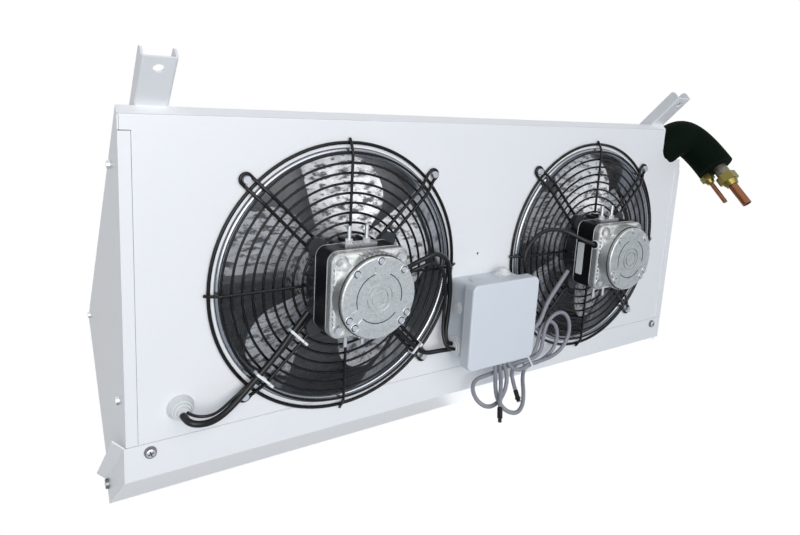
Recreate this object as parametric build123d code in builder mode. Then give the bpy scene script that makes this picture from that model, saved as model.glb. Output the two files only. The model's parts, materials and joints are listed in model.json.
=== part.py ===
from build123d import *

import os
from math import cos, radians, sin, tan

os.makedirs("parts", exist_ok=True)

# A ceiling-hung evaporator for a small cold room, with two fans on a slanted front panel.
# X runs along the casing, +Y points to the coil side at the back and +Z up to the ceiling.
# The origin lies in the middle of the four hanging holes, on the underside of the rails.

# Sheet metal
sheet = 1.2
seam_gap = 0.3
screw_gap = 0.15

# Hanger rails
rail_pitch = 698.0
hang_depth = 453.0
rail_width = 28.0
rail_height = 15.0
rail_sheet = 2.0
rail_length = 476.0
hang_hole_r = 4.35
rail_bend_r = 2.5

# Casing
casing_length = 784.0
casing_depth = 370.0
left_overhang = 28.0
lip_front = 9.0
lip_back = 14.0
panel_angle = 44.0
panel_drop = 9.5
panel_length = 293.0
hem = 12.0
side_flange = 10.0
x_left = -rail_pitch / 2 - left_overhang
x_right = x_left + casing_length
y_front = -casing_depth / 2
y_back = casing_depth / 2

# Fans
fan_inset = 212.0
fan_pitch = 375.0
fan_down = 161.0
throat_r = 127.5
collar_r = throat_r + sheet
opening_r = collar_r + seam_gap
fan_x = {"left": x_left + fan_inset, "right": x_left + fan_inset + fan_pitch}

# Drip tray
tray_strip = 34.0
tray_slope = 6.5
tray_reach = 7.0
tray_wall = 25.0
tray_gap = 0.4
tray_flare = 9.0
side_overlap = 12.0
seam_up = fan_down - panel_length
tray_top_up = seam_up - 0.5
tray_low_up = seam_up - tray_strip
tray_back_y = y_back + tray_reach

# Front notch for the pipes
notch_width = 47.0
notch_depth = 43.0
notch_low_up = 118.0
notch_corner_r = 15.0
pipe_hole_r = 31.0
pipe_hole_y = -172.0
pipe_hole_z = -26.0

slope = radians(panel_angle)
outward = Vector(0, -sin(slope), -cos(slope))
floor_rise = tan(radians(tray_slope))


# Places on the slanted panel: x along it, up the slope from the fans' line, and out of the panel
def slope_point(x, up, out=0.0):
    y = y_front + sheet + (fan_down - up) * cos(slope) - out * sin(slope)
    z = -panel_drop - (fan_down - up) * sin(slope) - out * cos(slope)
    return Vector(x, y, z)


def slope_plane(x, up, out=0.0):
    return Plane(origin=slope_point(x, up, out), x_dir=(1, 0, 0), z_dir=outward)


def turned_plane(x, angle, out=0.0):
    flat = slope_plane(x, 0, out)
    reach = flat.x_dir * cos(radians(angle)) + flat.y_dir * sin(radians(angle))
    return Plane(origin=flat.origin, x_dir=reach, z_dir=outward)


def polar(radius, angle):
    return (radius * cos(radians(angle)), radius * sin(radians(angle)))


def slope_yz(up, out=0.0):
    point = slope_point(0, up, out)
    return (point.Y, point.Z)


# The half plane through a fan's axis: local x is the radius and local y points out of the panel
def fan_section(x):
    return Plane(origin=slope_point(x, 0), x_dir=(1, 0, 0), z_dir=Vector(1, 0, 0).cross(outward))


def fan_axis(x):
    return Axis(slope_point(x, 0), outward)


def tray_floor_z(y):
    low = slope_point(0, tray_low_up)
    return low.Z + (y - low.Y) * floor_rise


def save(piece, name):
    piece.part.label = name
    export_step(piece.part, f"parts/{name}.step")


rim_front = slope_yz(tray_top_up)
rim_back = (tray_back_y, tray_floor_z(tray_back_y) + tray_wall)
rim_rise = (rim_back[1] - rim_front[1]) / (rim_back[0] - rim_front[0])


def rim_z(y):
    return rim_front[1] + (y - rim_front[0]) * rim_rise


# Screw sizes: head radius, head height, shank radius and shank length
case_screw = (4.2, 2.6, 1.9, 9.0)
tray_screw = (5.6, 3.2, 2.2, 9.0)
guard_screw = (4.2, 3.0, 2.0, 14.0)
rail_screw = (5.5, 3.5, 2.5, 8.0)


def screw_at(plane, size):
    head_r, head_height, shank_r, shank_length = size
    with BuildSketch(plane) as head:
        Circle(head_r)
    extrude(head.sketch, amount=head_height, taper=12)
    with BuildSketch(plane) as shank:
        Circle(shank_r)
    extrude(shank.sketch, amount=-shank_length)


def drill(plane, size):
    with BuildSketch(plane) as hole:
        Circle(size[2] + screw_gap)
    extrude(hole.sketch, amount=6, both=True, mode=Mode.SUBTRACT)


# Screw places on the casing's ends, as y and z
top_screw_z = -7.5
side_screw_yz = [(-118.0, top_screw_z), (168.0, top_screw_z), (28.0, -168.0)]
tray_end_yz = (178.0, rim_z(178.0) - side_overlap / 2)
tray_front_inset = 20.3
tray_front_up = seam_up - 9.0
tray_screw_x = [x_left + tray_front_inset, x_right - tray_front_inset]
rail_screw_y = [-130.0, 90.0]


def end_plane(x, y, z):
    facing = -1 if x < 0 else 1
    return Plane(origin=(x, y, z), x_dir=(0, facing, 0), z_dir=(facing, 0, 0))


# Hanger rails: channels laid across the casing with their flanges up
for side, rail_x in (("left", -rail_pitch / 2), ("right", rail_pitch / 2)):
    with BuildPart() as rail:
        with BuildSketch(Plane.XZ.offset(-rail_length / 2)):
            with BuildLine():
                half = rail_width / 2
                FilletPolyline(
                    (rail_x - half, rail_height),
                    (rail_x - half, 0),
                    (rail_x + half, 0),
                    (rail_x + half, rail_height),
                    radius=rail_bend_r,
                )
                offset(amount=rail_sheet, side=Side.LEFT)
            make_face()
        extrude(amount=rail_length)
        tips = rail.edges().filter_by(Axis.X).group_by(Axis.Z)[-1]
        fillet(tips, rail_height / 3)
        with Locations((rail_x, -hang_depth / 2, 0), (rail_x, hang_depth / 2, 0)):
            Hole(hang_hole_r, depth=rail_height * 2)
        for y in rail_screw_y:
            drill(Plane.XY.offset(rail_sheet).move(Location((rail_x, y, 0))), rail_screw)
    save(rail, f"{side}_hanger_rail")

# Top panel: a flat sheet with its edges turned down, notched at the pipe corner
with BuildPart() as top_panel:
    with BuildSketch(Plane.YZ.offset(x_left)):
        with BuildLine():
            Polyline((y_front, -lip_front), (y_front, 0), (y_back, 0), (y_back, -lip_back))
            offset(amount=sheet, side=Side.RIGHT)
        make_face()
    extrude(amount=casing_length)
    lip_front_y = y_front + lip_back + 4
    lip_back_y = y_back - 3 * sheet
    for x in (x_left + 1.5 * sheet, x_right - 1.5 * sheet):
        with Locations((x, (lip_front_y + lip_back_y) / 2, -lip_back / 2)):
            Box(sheet, lip_back_y - lip_front_y, lip_back)
    with BuildSketch(Plane.XY.offset(-lip_back * 2)):
        with Locations((x_right - notch_width, y_front - 1)):
            Rectangle(notch_width + 1, notch_depth + 1, align=Align.MIN)
    extrude(amount=lip_back * 3, mode=Mode.SUBTRACT)
    for x in (x_left, x_right):
        for y, z in side_screw_yz[:2]:
            drill(end_plane(x, y, z), case_screw)
    for x in (-rail_pitch / 2, rail_pitch / 2):
        for y in rail_screw_y:
            drill(Plane.XY.move(Location((x, y, 0))), rail_screw)
save(top_panel, "top_panel")

# Places on the slanted panel, as x and up
box_x = 22.5
box_up = -64.0
gland_x = -330.0
gland_up = -104.0
gland_thread_r = 8.0
guard_r = 140.0
loop_r = 149.5
rivet_hole = (15.6, 8.4)
rivet_hole_r = 1.5
arm_angles = (45, 135, 225, 315)

# Slanted front panel with both fan openings
with BuildPart() as fan_panel:
    panel_x = x_left + sheet + seam_gap
    with BuildSketch(Plane.YZ.offset(panel_x)):
        with BuildLine():
            Polyline(
                (y_front + sheet, -sheet - 0.2),
                slope_yz(fan_down),
                slope_yz(seam_up),
                slope_yz(seam_up, -hem),
            )
            offset(amount=sheet, side=Side.LEFT)
        make_face()
    extrude(amount=casing_length - 2 * sheet - 2 * seam_gap)
    with BuildSketch(slope_plane(0, 0, 1)):
        with Locations(*[(x, 0) for x in fan_x.values()]):
            Circle(opening_r)
        with Locations((gland_x, gland_up)):
            Circle(gland_thread_r + screw_gap)
        with Locations(rivet_hole):
            Circle(rivet_hole_r)
        for x in fan_x.values():
            with Locations((x, 0)):
                with PolarLocations(loop_r, len(arm_angles), start_angle=arm_angles[0]):
                    Circle(guard_screw[2] + screw_gap)
    extrude(amount=-sheet * 3, mode=Mode.SUBTRACT)
    with BuildSketch(slope_plane(0, 0, 5)) as notch:
        with Locations((x_right - notch_width, notch_low_up)):
            Rectangle(notch_width + 5, fan_down - notch_low_up + 20, align=Align.MIN)
        corner = notch.vertices().group_by(Axis.X)[0].sort_by(Axis.Z)[0]
        fillet(corner, notch_corner_r)
    extrude(amount=-20, mode=Mode.SUBTRACT)
save(fan_panel, "fan_panel")

# End plates of the casing, with turned-in edges and a tab behind the tray for its screw
side_low_up = seam_up - 17.0
tab_width = 30.0
flange_top_up = {"left": 148.0, "right": 102.0}
for side, x_face, inward in (("left", x_left, 1), ("right", x_right, -1)):
    with BuildPart() as side_panel:
        back = y_back - sheet - 0.2
        skin = -sheet - 0.5
        with BuildSketch(Plane.YZ.offset(x_face)):
            with BuildLine():
                Polyline(
                    (y_front + sheet + 0.2, -sheet - 0.2),
                    slope_yz(fan_down - 0.3),
                    slope_yz(seam_up + 1),
                    slope_yz(seam_up + 1, skin),
                    slope_yz(side_low_up, skin),
                    (back, rim_z(back) - side_overlap),
                    (back, -sheet - 0.2),
                    close=True,
                )
            make_face()
        extrude(amount=inward * sheet)
        strip_top = flange_top_up[side]
        strip_height = strip_top - seam_up - 1
        with BuildSketch(slope_plane(x_face + inward * side_flange / 2, strip_top - strip_height / 2)):
            Rectangle(side_flange, strip_height)
        extrude(amount=sheet)
        tab_height = seam_up - 1.5 - side_low_up
        with BuildSketch(slope_plane(x_face + inward * tab_width / 2, side_low_up + tab_height / 2, skin)):
            Rectangle(tab_width, tab_height)
        extrude(amount=-sheet)
        flange_low = rim_z(back) - side_overlap
        with BuildSketch(Plane.XZ.offset(-back)):
            with Locations((x_face + inward * hem / 2, (flange_low - lip_back) / 2)):
                Rectangle(hem, -lip_back - flange_low)
        extrude(amount=sheet)
        for y, z in side_screw_yz:
            drill(end_plane(x_face, y, z), case_screw)
        drill(end_plane(x_face, *tray_end_yz), tray_screw)
        drill(slope_plane(x_face + inward * tray_front_inset, tray_front_up), tray_screw)
        if side == "right":
            with BuildSketch(Plane.YZ.offset(x_right + 5)):
                with Locations((pipe_hole_y, pipe_hole_z)):
                    Circle(pipe_hole_r)
            extrude(amount=-20, mode=Mode.SUBTRACT)
    save(side_panel, f"{side}_side_panel")

# Drip tray with flared end rims
drain_y = 88.0
drain_r = 10.0
drain_wall = 2.0
drain_rim = 1.5
drain_up = drain_r + drain_rim + 0.2
drain_z = tray_floor_z(drain_y) + drain_up
tray_x0 = x_left - tray_gap - sheet
tray_x1 = x_right + tray_gap + sheet
with BuildPart() as drip_tray:
    low = slope_yz(tray_low_up)
    floor_back = (tray_back_y, tray_floor_z(tray_back_y))
    with BuildSketch(Plane.YZ.offset(tray_x0)):
        with BuildLine():
            Polyline(rim_front, low, floor_back, rim_back)
            offset(amount=sheet, side=Side.LEFT)
        make_face()
    extrude(amount=tray_x1 - tray_x0)
    for x_end, facing in ((tray_x0, -1), (tray_x1, 1)):
        with BuildSketch(Plane.YZ.offset(x_end)):
            with BuildLine():
                Polyline(rim_front, low, floor_back, rim_back, close=True)
            make_face()
        extrude(amount=-facing * sheet)
        rim_run = Vector(0, rim_back[0] - rim_front[0], rim_back[1] - rim_front[1])
        start = rim_front if facing < 0 else rim_back
        flare = Plane(
            origin=(x_end, start[0], start[1]),
            x_dir=(facing, 0, 0),
            z_dir=rim_run.normalized() * -facing,
        )
        with BuildSketch(flare):
            with BuildLine():
                Polyline(
                    (0, -1.5),
                    (0, 0),
                    (tray_flare, tray_flare),
                    (tray_flare - 0.85, tray_flare + 0.85),
                    (-sheet, 0.5),
                    (-sheet, -1.5),
                    close=True,
                )
            make_face()
        extrude(amount=rim_run.length)
        drill(end_plane(x_end, *tray_end_yz), tray_screw)
    for x in tray_screw_x:
        drill(slope_plane(x, tray_front_up), tray_screw)
    with BuildSketch(Plane.YZ.offset(tray_x1 + 1)):
        with Locations((drain_y, drain_z)):
            Circle(drain_r - drain_wall)
    extrude(amount=-sheet - 3, mode=Mode.SUBTRACT)
save(drip_tray, "drip_tray")

# Drain spout on the tray's right end
drain_reach = 38.0
with BuildPart() as drain_spout:
    with BuildSketch(Plane.YZ.offset(tray_x1)):
        with Locations((drain_y, drain_z)):
            Circle(drain_r + drain_rim)
    extrude(amount=2.0)
    with BuildSketch(Plane.YZ.offset(tray_x1)):
        with Locations((drain_y, drain_z)):
            Circle(drain_r)
    extrude(amount=drain_reach)
    with BuildSketch(Plane.YZ.offset(tray_x1)):
        with Locations((drain_y, drain_z)):
            Circle(drain_r - drain_wall)
    extrude(amount=drain_reach, mode=Mode.SUBTRACT)
save(drain_spout, "drain_spout")

# Screws in the casing, the rails and the tray
with BuildPart() as casing_screws:
    for x in (x_left, x_right):
        for y, z in side_screw_yz:
            screw_at(end_plane(x, y, z), case_screw)
    for x in (-rail_pitch / 2, rail_pitch / 2):
        for y in rail_screw_y:
            screw_at(Plane.XY.offset(rail_sheet).move(Location((x, y, 0))), rail_screw)
save(casing_screws, "casing_screws")

with BuildPart() as tray_screws:
    for x in (tray_x0, tray_x1):
        screw_at(end_plane(x, *tray_end_yz), tray_screw)
    for x in tray_screw_x:
        screw_at(slope_plane(x, tray_front_up), tray_screw)
save(tray_screws, "tray_screws")

# Rolled intake ring of each fan: a rounded lip on the panel and a collar round the blades
lip_width = 7.5
lip_rise = 3.5
collar_depth = 34.0
for side, x in fan_x.items():
    with BuildPart() as nozzle_ring:
        with BuildSketch(fan_section(x)):
            crest_r = throat_r + lip_width / 2
            outer_r = throat_r + lip_width
            with BuildLine():
                Line((collar_r, 0), (outer_r, 0))
                ThreePointArc((outer_r, 0), (outer_r - 0.9, lip_rise * 0.72), (crest_r, lip_rise))
                ThreePointArc((crest_r, lip_rise), (throat_r + 0.9, lip_rise * 0.72), (throat_r, 0))
                Polyline(
                    (throat_r, 0),
                    (throat_r, -collar_depth),
                    (collar_r, -collar_depth),
                    (collar_r, 0),
                )
            make_face()
        revolve(axis=fan_axis(x))
    save(nozzle_ring, f"{side}_nozzle_ring")

# Wire guard: nine rings, a thick rim ring, four single wires and four hairpin arms, all welded
ring_count = 9
ring_first_r = 49.6
ring_pitch = 10.1
ring_h = 7.0
ring_wire_r = 1.25
rim_wire_r = 1.75
spoke_wire_r = 1.5
arm_wire_r = 1.75
arm_half = 5.4
weld = 0.25
rim_h = rim_wire_r + 0.1
spoke_h = ring_h + ring_wire_r + spoke_wire_r - weld
arm_h = ring_h + ring_wire_r + arm_wire_r - weld
arm_start_r = 56.0
over_rim_h = rim_h + rim_wire_r


def bend_radius(before, corner, after):
    turn = (corner - before).get_angle(after - corner)
    run = min((corner - before).length, (after - corner).length)
    return 0.45 * run / tan(radians(turn / 2))


def tube(points, wire_r, bends=None):
    stops = [Vector(point) for point in points]
    if bends is None:
        bends = [bend_radius(*stops[i - 1 : i + 2]) for i in range(1, len(stops) - 1)]
    with BuildLine() as route:
        FilletPolyline(*stops, radius=bends)
    with BuildSketch(Plane(route.line @ 0, z_dir=route.line % 0)) as section:
        Circle(wire_r)
    sweep(section.sketch, path=route.line)
    return bends


with BuildPart() as guard_form:
    with BuildSketch(Plane.XZ):
        with Locations(*[(ring_first_r + ring_pitch * k, ring_h) for k in range(ring_count)]):
            Circle(ring_wire_r)
        with Locations((guard_r, rim_h)):
            Circle(rim_wire_r)
    revolve(axis=Axis.Z)
    with BuildLine() as spoke:
        FilletPolyline(
            (ring_first_r - ring_wire_r, 0, spoke_h),
            (guard_r - 9, 0, spoke_h),
            (guard_r, 0, over_rim_h + spoke_wire_r - weld),
            (guard_r + rim_wire_r + spoke_wire_r + 1, 0, spoke_wire_r + 0.4),
            radius=[6, 2],
        )
    with BuildSketch(Plane(spoke.line @ 0, z_dir=spoke.line % 0)) as spoke_section:
        Circle(spoke_wire_r)
    single_wire = sweep(spoke_section.sketch, path=spoke.line, mode=Mode.PRIVATE)
    leg = [
        (arm_start_r, arm_h),
        (guard_r - 14, arm_h),
        (guard_r - 2, over_rim_h + arm_wire_r - weld),
        (guard_r + 5, rim_h + 0.2),
        (loop_r, rim_h + 0.2),
    ]
    there = [(r, -arm_half, h) for r, h in leg]
    back = [(r, arm_half, h) for r, h in reversed(leg)]
    with BuildLine() as hairpin:
        FilletPolyline(*there, radius=[12, 3, 2])
        ThreePointArc(there[-1], (loop_r + arm_half, 0, rim_h + 0.2), back[0])
        FilletPolyline(*back, radius=[2, 3, 12])
    with BuildSketch(Plane(hairpin.line @ 0, z_dir=hairpin.line % 0)) as hairpin_section:
        Circle(arm_wire_r)
    hairpin_wire = sweep(hairpin_section.sketch, path=hairpin.line, mode=Mode.PRIVATE)
    with PolarLocations(0, 4, start_angle=arm_angles[0]):
        add(hairpin_wire)
    with PolarLocations(0, 4):
        add(single_wire)

for side, x in fan_x.items():
    with BuildPart(slope_plane(x, 0)) as guard:
        add(guard_form.part)
    save(guard, f"{side}_guard")

with BuildPart() as guard_screws:
    for x in fan_x.values():
        for angle in arm_angles:
            turned = turned_plane(x, angle)
            seat = turned.from_local_coords((loop_r, 0, rim_h + 0.2 + arm_wire_r + 0.05))
            screw_at(Plane(origin=seat, x_dir=(1, 0, 0), z_dir=outward), guard_screw)
save(guard_screws, "guard_screws")

# Fan motors, carried on the guards' hairpin arms; depths are measured out of the panel
motor_r = 44.0
fin_r = 47.3
shaft_r = 4.0
bearing_r = 11.0
bearing_width = 7.0
running_gap = 0.06
shield_back_h = 1.5
lug_h = arm_h + arm_wire_r + 0.05
stator_back_h = 18.5
stator_front_h = 44.5
stator_side = 84.0
stator_corner_r = 10.0
stator_bore_r = 24.5
rotor_r = 24.0
shield_step_h = 56.0
shield_front_h = 67.0
drum_r = 41.0
cover_r = 40.2
cover_front_h = 72.0
lug_reach = 66.0
lug_width = 18.0
corner_screw_at = 33.0
motor_screw = (4.2, 3.2, 2.4, 5.0)
cover_screw = (3.0, 1.6, 1.2, 3.0)
cover_screw_r = 36.2
cover_screw_angles = (90, 44, 134, -30, -45, -151, -135)
channel_r = 24.6
channel_runs = ((66, -80), (105, 92), (226, 92))
radial_slot_angles = (103, 199, 224, -30)
lead_boss_r = 45.0
lead_boss_t = -13.0
lead_boss_h = 8.6
plate_length = 36.0
plate_width = 10.0
plate_sheet = 3.0
plate_x = -1.0
plate_h = 20.0
stud_r = 2.0
stud_length = 18.5
stud_offsets = (-11.0, 8.5)


def square_block(x, h0, h1, side_length, corner_r):
    with BuildSketch(slope_plane(x, 0, h0)) as block:
        RectangleRounded(side_length, side_length, corner_r)
    extrude(block.sketch, amount=h1 - h0)


def round_block(x, h0, h1, radius, mode=Mode.ADD):
    with BuildSketch(slope_plane(x, 0, h0)) as block:
        Circle(radius)
    extrude(block.sketch, amount=h1 - h0, mode=mode)


for side, x in fan_x.items():
    with BuildPart() as rear_shield:
        round_block(x, shield_back_h, stator_back_h, motor_r)
        fillet(rear_shield.faces().sort_by(Axis((0, 0, 0), outward))[0].edges(), 3)
        with BuildSketch(slope_plane(x, 0, shield_back_h + 3)):
            with PolarLocations(fin_r - 4, 28):
                Rectangle(8, 2.4)
        extrude(amount=stator_back_h - shield_back_h - 3)
        with BuildSketch(slope_plane(x, 0, lug_h)):
            with PolarLocations(0, 4, start_angle=arm_angles[0]):
                with Locations(((30 + lug_reach) / 2, 0)):
                    SlotOverall(lug_reach - 30, lug_width)
        extrude(amount=stator_back_h - lug_h)
        with BuildSketch(turned_plane(x, 225, lead_boss_h)):
            with Locations((lead_boss_r, lead_boss_t)):
                Rectangle(10, 8)
        extrude(amount=stator_back_h - 1.5 - lead_boss_h)
        round_block(x, shield_back_h - 1, stator_back_h + 1, shaft_r + 1.5, Mode.SUBTRACT)
        round_block(x, stator_back_h - bearing_width, stator_back_h + 1, bearing_r, Mode.SUBTRACT)
    save(rear_shield, f"{side}_motor_rear_shield")

    with BuildPart() as stator:
        square_block(x, stator_back_h, stator_front_h, stator_side, stator_corner_r)
        round_block(x, stator_back_h - 1, stator_front_h + 1, stator_bore_r, Mode.SUBTRACT)
    save(stator, f"{side}_motor_stator")

    with BuildPart() as front_shield:
        square_block(x, stator_front_h, shield_step_h, stator_side, stator_corner_r)
        top_edges = front_shield.faces().sort_by(Axis((0, 0, 0), outward))[-1].edges()
        fillet(top_edges, 5)
        round_block(x, stator_front_h, shield_front_h, drum_r)
        with BuildSketch(slope_plane(x, 0, shield_step_h - 7)):
            for first_angle in (52, 232):
                with PolarLocations(drum_r - 0.5, 9, start_angle=first_angle, angular_range=66):
                    Rectangle(4, 1.6)
        extrude(amount=shield_front_h - shield_step_h + 6)
        with BuildSketch(slope_plane(x, 0, shield_step_h)):
            for across in (-1, 1):
                with Locations((across * (stator_side / 2 - 1.8), 0)):
                    with GridLocations(0, 5.2, 1, 11):
                        Rectangle(1.2, 3.4)
        extrude(amount=-3.2, mode=Mode.SUBTRACT)
        with BuildSketch(slope_plane(x, 0, shield_step_h - 4)):
            with GridLocations(2 * corner_screw_at, 2 * corner_screw_at, 2, 2):
                Circle(7.5)
        extrude(amount=shield_front_h, mode=Mode.SUBTRACT)
        round_block(x, stator_front_h - 1, stator_front_h + bearing_width, bearing_r, Mode.SUBTRACT)
        round_block(x, stator_front_h, shield_front_h - 2, shaft_r + 1.5, Mode.SUBTRACT)
        for across in (-corner_screw_at, corner_screw_at):
            for up in (-corner_screw_at, corner_screw_at):
                drill(slope_plane(x + across, up, shield_step_h - 4), motor_screw)
    save(front_shield, f"{side}_motor_front_shield")

    with BuildPart() as cover:
        round_block(x, shield_front_h, cover_front_h, cover_r)
        fillet(cover.faces().sort_by(Axis((0, 0, 0), outward))[-1].edges(), 1.5)
        with BuildSketch(slope_plane(x, 0, cover_front_h)):
            Circle(14.4)
            Circle(12.8, mode=Mode.SUBTRACT)
            Circle(9.6)
            Circle(8.2, mode=Mode.SUBTRACT)
        extrude(amount=-1.4, mode=Mode.SUBTRACT)
        with BuildSketch(slope_plane(x, 0, cover_front_h)):
            for first_angle, turn in channel_runs:
                SlotArc(CenterArc((0, 0), channel_r, first_angle, turn), 1.3)
            for angle in radial_slot_angles:
                with Locations(Location((0, 0, 0), (0, 0, angle))):
                    with Locations((28.4, 0)):
                        SlotOverall(6.4, 2.0)
        extrude(amount=-1.0, mode=Mode.SUBTRACT)
        with BuildSketch(slope_plane(x, 0, cover_front_h)):
            for angle in cover_screw_angles:
                with Locations(polar(cover_screw_r, angle)):
                    Circle(cover_screw[2] + screw_gap)
        extrude(amount=-cover_screw[3] - 0.5, mode=Mode.SUBTRACT)
    save(cover, f"{side}_motor_cover")

    with BuildPart() as brackets:
        for above in (1, -1):
            seat_up = above * (stator_side / 2 + plate_sheet / 2)
            with BuildSketch(slope_plane(x + plate_x, seat_up, plate_h + 10 - plate_width / 2)):
                Rectangle(plate_length, plate_sheet)
            extrude(amount=plate_width)
            for offset_x in stud_offsets:
                foot = slope_point(x + plate_x + offset_x, seat_up, plate_h + 10)
                along = slope_point(0, above) - slope_point(0, 0)
                with BuildSketch(Plane(origin=foot, x_dir=(1, 0, 0), z_dir=along)):
                    Circle(stud_r)
                extrude(amount=stud_length)
                with BuildSketch(Plane(origin=foot, x_dir=(1, 0, 0), z_dir=along)):
                    RegularPolygon(4.0, 6)
                extrude(amount=plate_sheet / 2 + 4)
    save(brackets, f"{side}_motor_brackets")

    with BuildPart() as shaft:
        round_block(x, -37, shield_front_h - 3, shaft_r - running_gap)
    save(shaft, f"{side}_motor_shaft")

    with BuildPart() as rotor:
        round_block(x, stator_back_h + 2, stator_front_h - 2, rotor_r)
        round_block(x, stator_back_h, stator_front_h, shaft_r - running_gap, Mode.SUBTRACT)
    save(rotor, f"{side}_motor_rotor")

with BuildPart() as bearings:
    for x in fan_x.values():
        for h in (stator_back_h - bearing_width, stator_front_h):
            with BuildSketch(slope_plane(x, 0, h)):
                Circle(bearing_r)
                Circle(shaft_r, mode=Mode.SUBTRACT)
            extrude(amount=bearing_width)
save(bearings, "motor_bearings")

with BuildPart() as motor_screws:
    for x in fan_x.values():
        for across in (-corner_screw_at, corner_screw_at):
            for up in (-corner_screw_at, corner_screw_at):
                screw_at(slope_plane(x + across, up, shield_step_h - 4), motor_screw)
        for angle in cover_screw_angles:
            across, up = polar(cover_screw_r, angle)
            screw_at(slope_plane(x + across, up, cover_front_h), cover_screw)
save(motor_screws, "motor_screws")

# Fan wheels: a pressed hub on the shaft and five twisted sheet blades
hub_r = 45.0
hub_front_h = -8.0
hub_back_h = -50.0
hub_wall = 1.5
hub_collar_r = 9.0
hub_collar_h = -34.0
blade_count = 5
blade_tip_r = 125.0
blade_sheet = 1.2
blade_lead_angle = 55.0
blade_trail_angle = 106.5
blade_lead_h = -10.0
blade_trail_h = -42.0
blade_lead_edge = [(80.0, 55.0), (95.0, 58.0), (110.0, 64.5), (120.0, 71.6), (blade_tip_r, 82.0)]
blade_sections = 6
fan_phase = {"left": 0.0, "right": 0.0}

with BuildPart() as blade:
    for k in range(blade_sections):
        share = k / (blade_sections - 1)
        angle = blade_lead_angle + (blade_trail_angle - blade_lead_angle) * share
        height = blade_lead_h + (blade_trail_h - blade_lead_h) * share
        radial = Vector(cos(radians(angle)), sin(radians(angle)), 0)
        edge_on = Plane(origin=(0, 0, height), x_dir=radial, z_dir=Vector(0, 0, 1).cross(radial))
        with BuildSketch(edge_on):
            with Locations((hub_r - 0.5, 0)):
                Rectangle(blade_tip_r - hub_r + 3, blade_sheet, align=(Align.MIN, Align.CENTER))
    loft()
    with BuildSketch(Plane.XY.offset(blade_trail_h - 5)):
        with BuildLine():
            lead = [polar(r, a) for r, a in blade_lead_edge]
            root_lead = polar(hub_r - 0.3, blade_lead_angle)
            root_trail = polar(hub_r - 0.3, blade_trail_angle)
            tip_trail = polar(blade_tip_r, blade_trail_angle)
            mid_angle = (blade_lead_edge[-1][1] + blade_trail_angle) / 2
            Line(root_lead, lead[0])
            Spline(*lead)
            ThreePointArc(lead[-1], polar(blade_tip_r, mid_angle), tip_trail)
            Line(tip_trail, root_trail)
            ThreePointArc(
                root_trail,
                polar(hub_r - 0.3, (blade_lead_angle + blade_trail_angle) / 2),
                root_lead,
            )
        make_face()
    extrude(amount=60, mode=Mode.INTERSECT)

for side, x in fan_x.items():
    with BuildPart(slope_plane(x, 0)) as blades:
        with PolarLocations(0, blade_count, start_angle=fan_phase[side]):
            add(blade.part)
    save(blades, f"{side}_fan_blades")

    with BuildPart() as hub:
        with BuildSketch(fan_section(x)):
            with BuildLine():
                bore_r = shaft_r - running_gap
                Polyline(
                    (bore_r, hub_front_h),
                    (hub_r, hub_front_h),
                    (hub_r, hub_back_h),
                    (hub_r - hub_wall, hub_back_h),
                    (hub_r - hub_wall, hub_front_h - hub_wall),
                    (hub_collar_r, hub_front_h - hub_wall),
                    (hub_collar_r, hub_collar_h),
                    (bore_r, hub_collar_h),
                    close=True,
                )
            make_face()
        revolve(axis=fan_axis(x))
    save(hub, f"{side}_fan_hub")

# Finned coil: three columns of eight tubes
coil_columns = 3
coil_rows = 8
coil_pitch = 22.0
coil_y = 140.0
coil_top_z = -29.0
tube_r = 4.76
fin_sheet = 0.4
fin_pitch = 5.6
coil_x0 = -341.0
coil_x1 = 350.0
coil_plate_sheet = 1.5
fin_depth = 66.0
fin_margin = 11.0
plate_margin = 2.0
coil_low_z = coil_top_z - (coil_rows - 1) * coil_pitch
coil_mid_z = (coil_top_z + coil_low_z) / 2
fin_height = coil_top_z - coil_low_z + 2 * fin_margin
header_x = 385.0
header_r = 11.0
manifold_x = 375.0
manifold_r = 6.0
tube_entry = 2.0

with BuildPart() as coil_fins:
    fin_count = int((coil_x1 - coil_x0 - 2 * coil_plate_sheet) / fin_pitch)
    with BuildSketch(Plane.XY.offset(coil_mid_z - fin_height / 2)):
        with Locations(((coil_x0 + coil_x1) / 2, coil_y)):
            with GridLocations(fin_pitch, 0, fin_count, 1):
                Rectangle(fin_sheet, fin_depth)
    extrude(amount=fin_height)
save(coil_fins, "coil_fins")

with BuildPart() as coil_tubes:
    for column in range(coil_columns):
        y = coil_y + (column - 1) * coil_pitch
        bend_x0 = coil_x0 - coil_plate_sheet - 8
        bend_x1 = coil_x1 + coil_plate_sheet + 8
        with BuildLine() as serpentine:
            start = Vector(header_x - header_r + tube_entry, y, coil_top_z)
            for row in range(coil_rows):
                z = coil_top_z - row * coil_pitch
                leftward = row % 2 == 0
                end_x = bend_x0 if leftward else bend_x1
                if row == coil_rows - 1:
                    end_x = manifold_x - manifold_r + tube_entry
                end = Vector(end_x, y, z)
                Line(start, end)
                if row < coil_rows - 1:
                    reach = coil_pitch / 2 * (-1 if leftward else 1)
                    middle = Vector(end_x + reach, y, z - coil_pitch / 2)
                    start = Vector(end_x, y, z - coil_pitch)
                    ThreePointArc(end, middle, start)
        with BuildSketch(Plane(serpentine.line @ 0, z_dir=serpentine.line % 0)):
            Circle(tube_r)
        sweep(path=serpentine.line)
save(coil_tubes, "coil_tubes")

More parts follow.
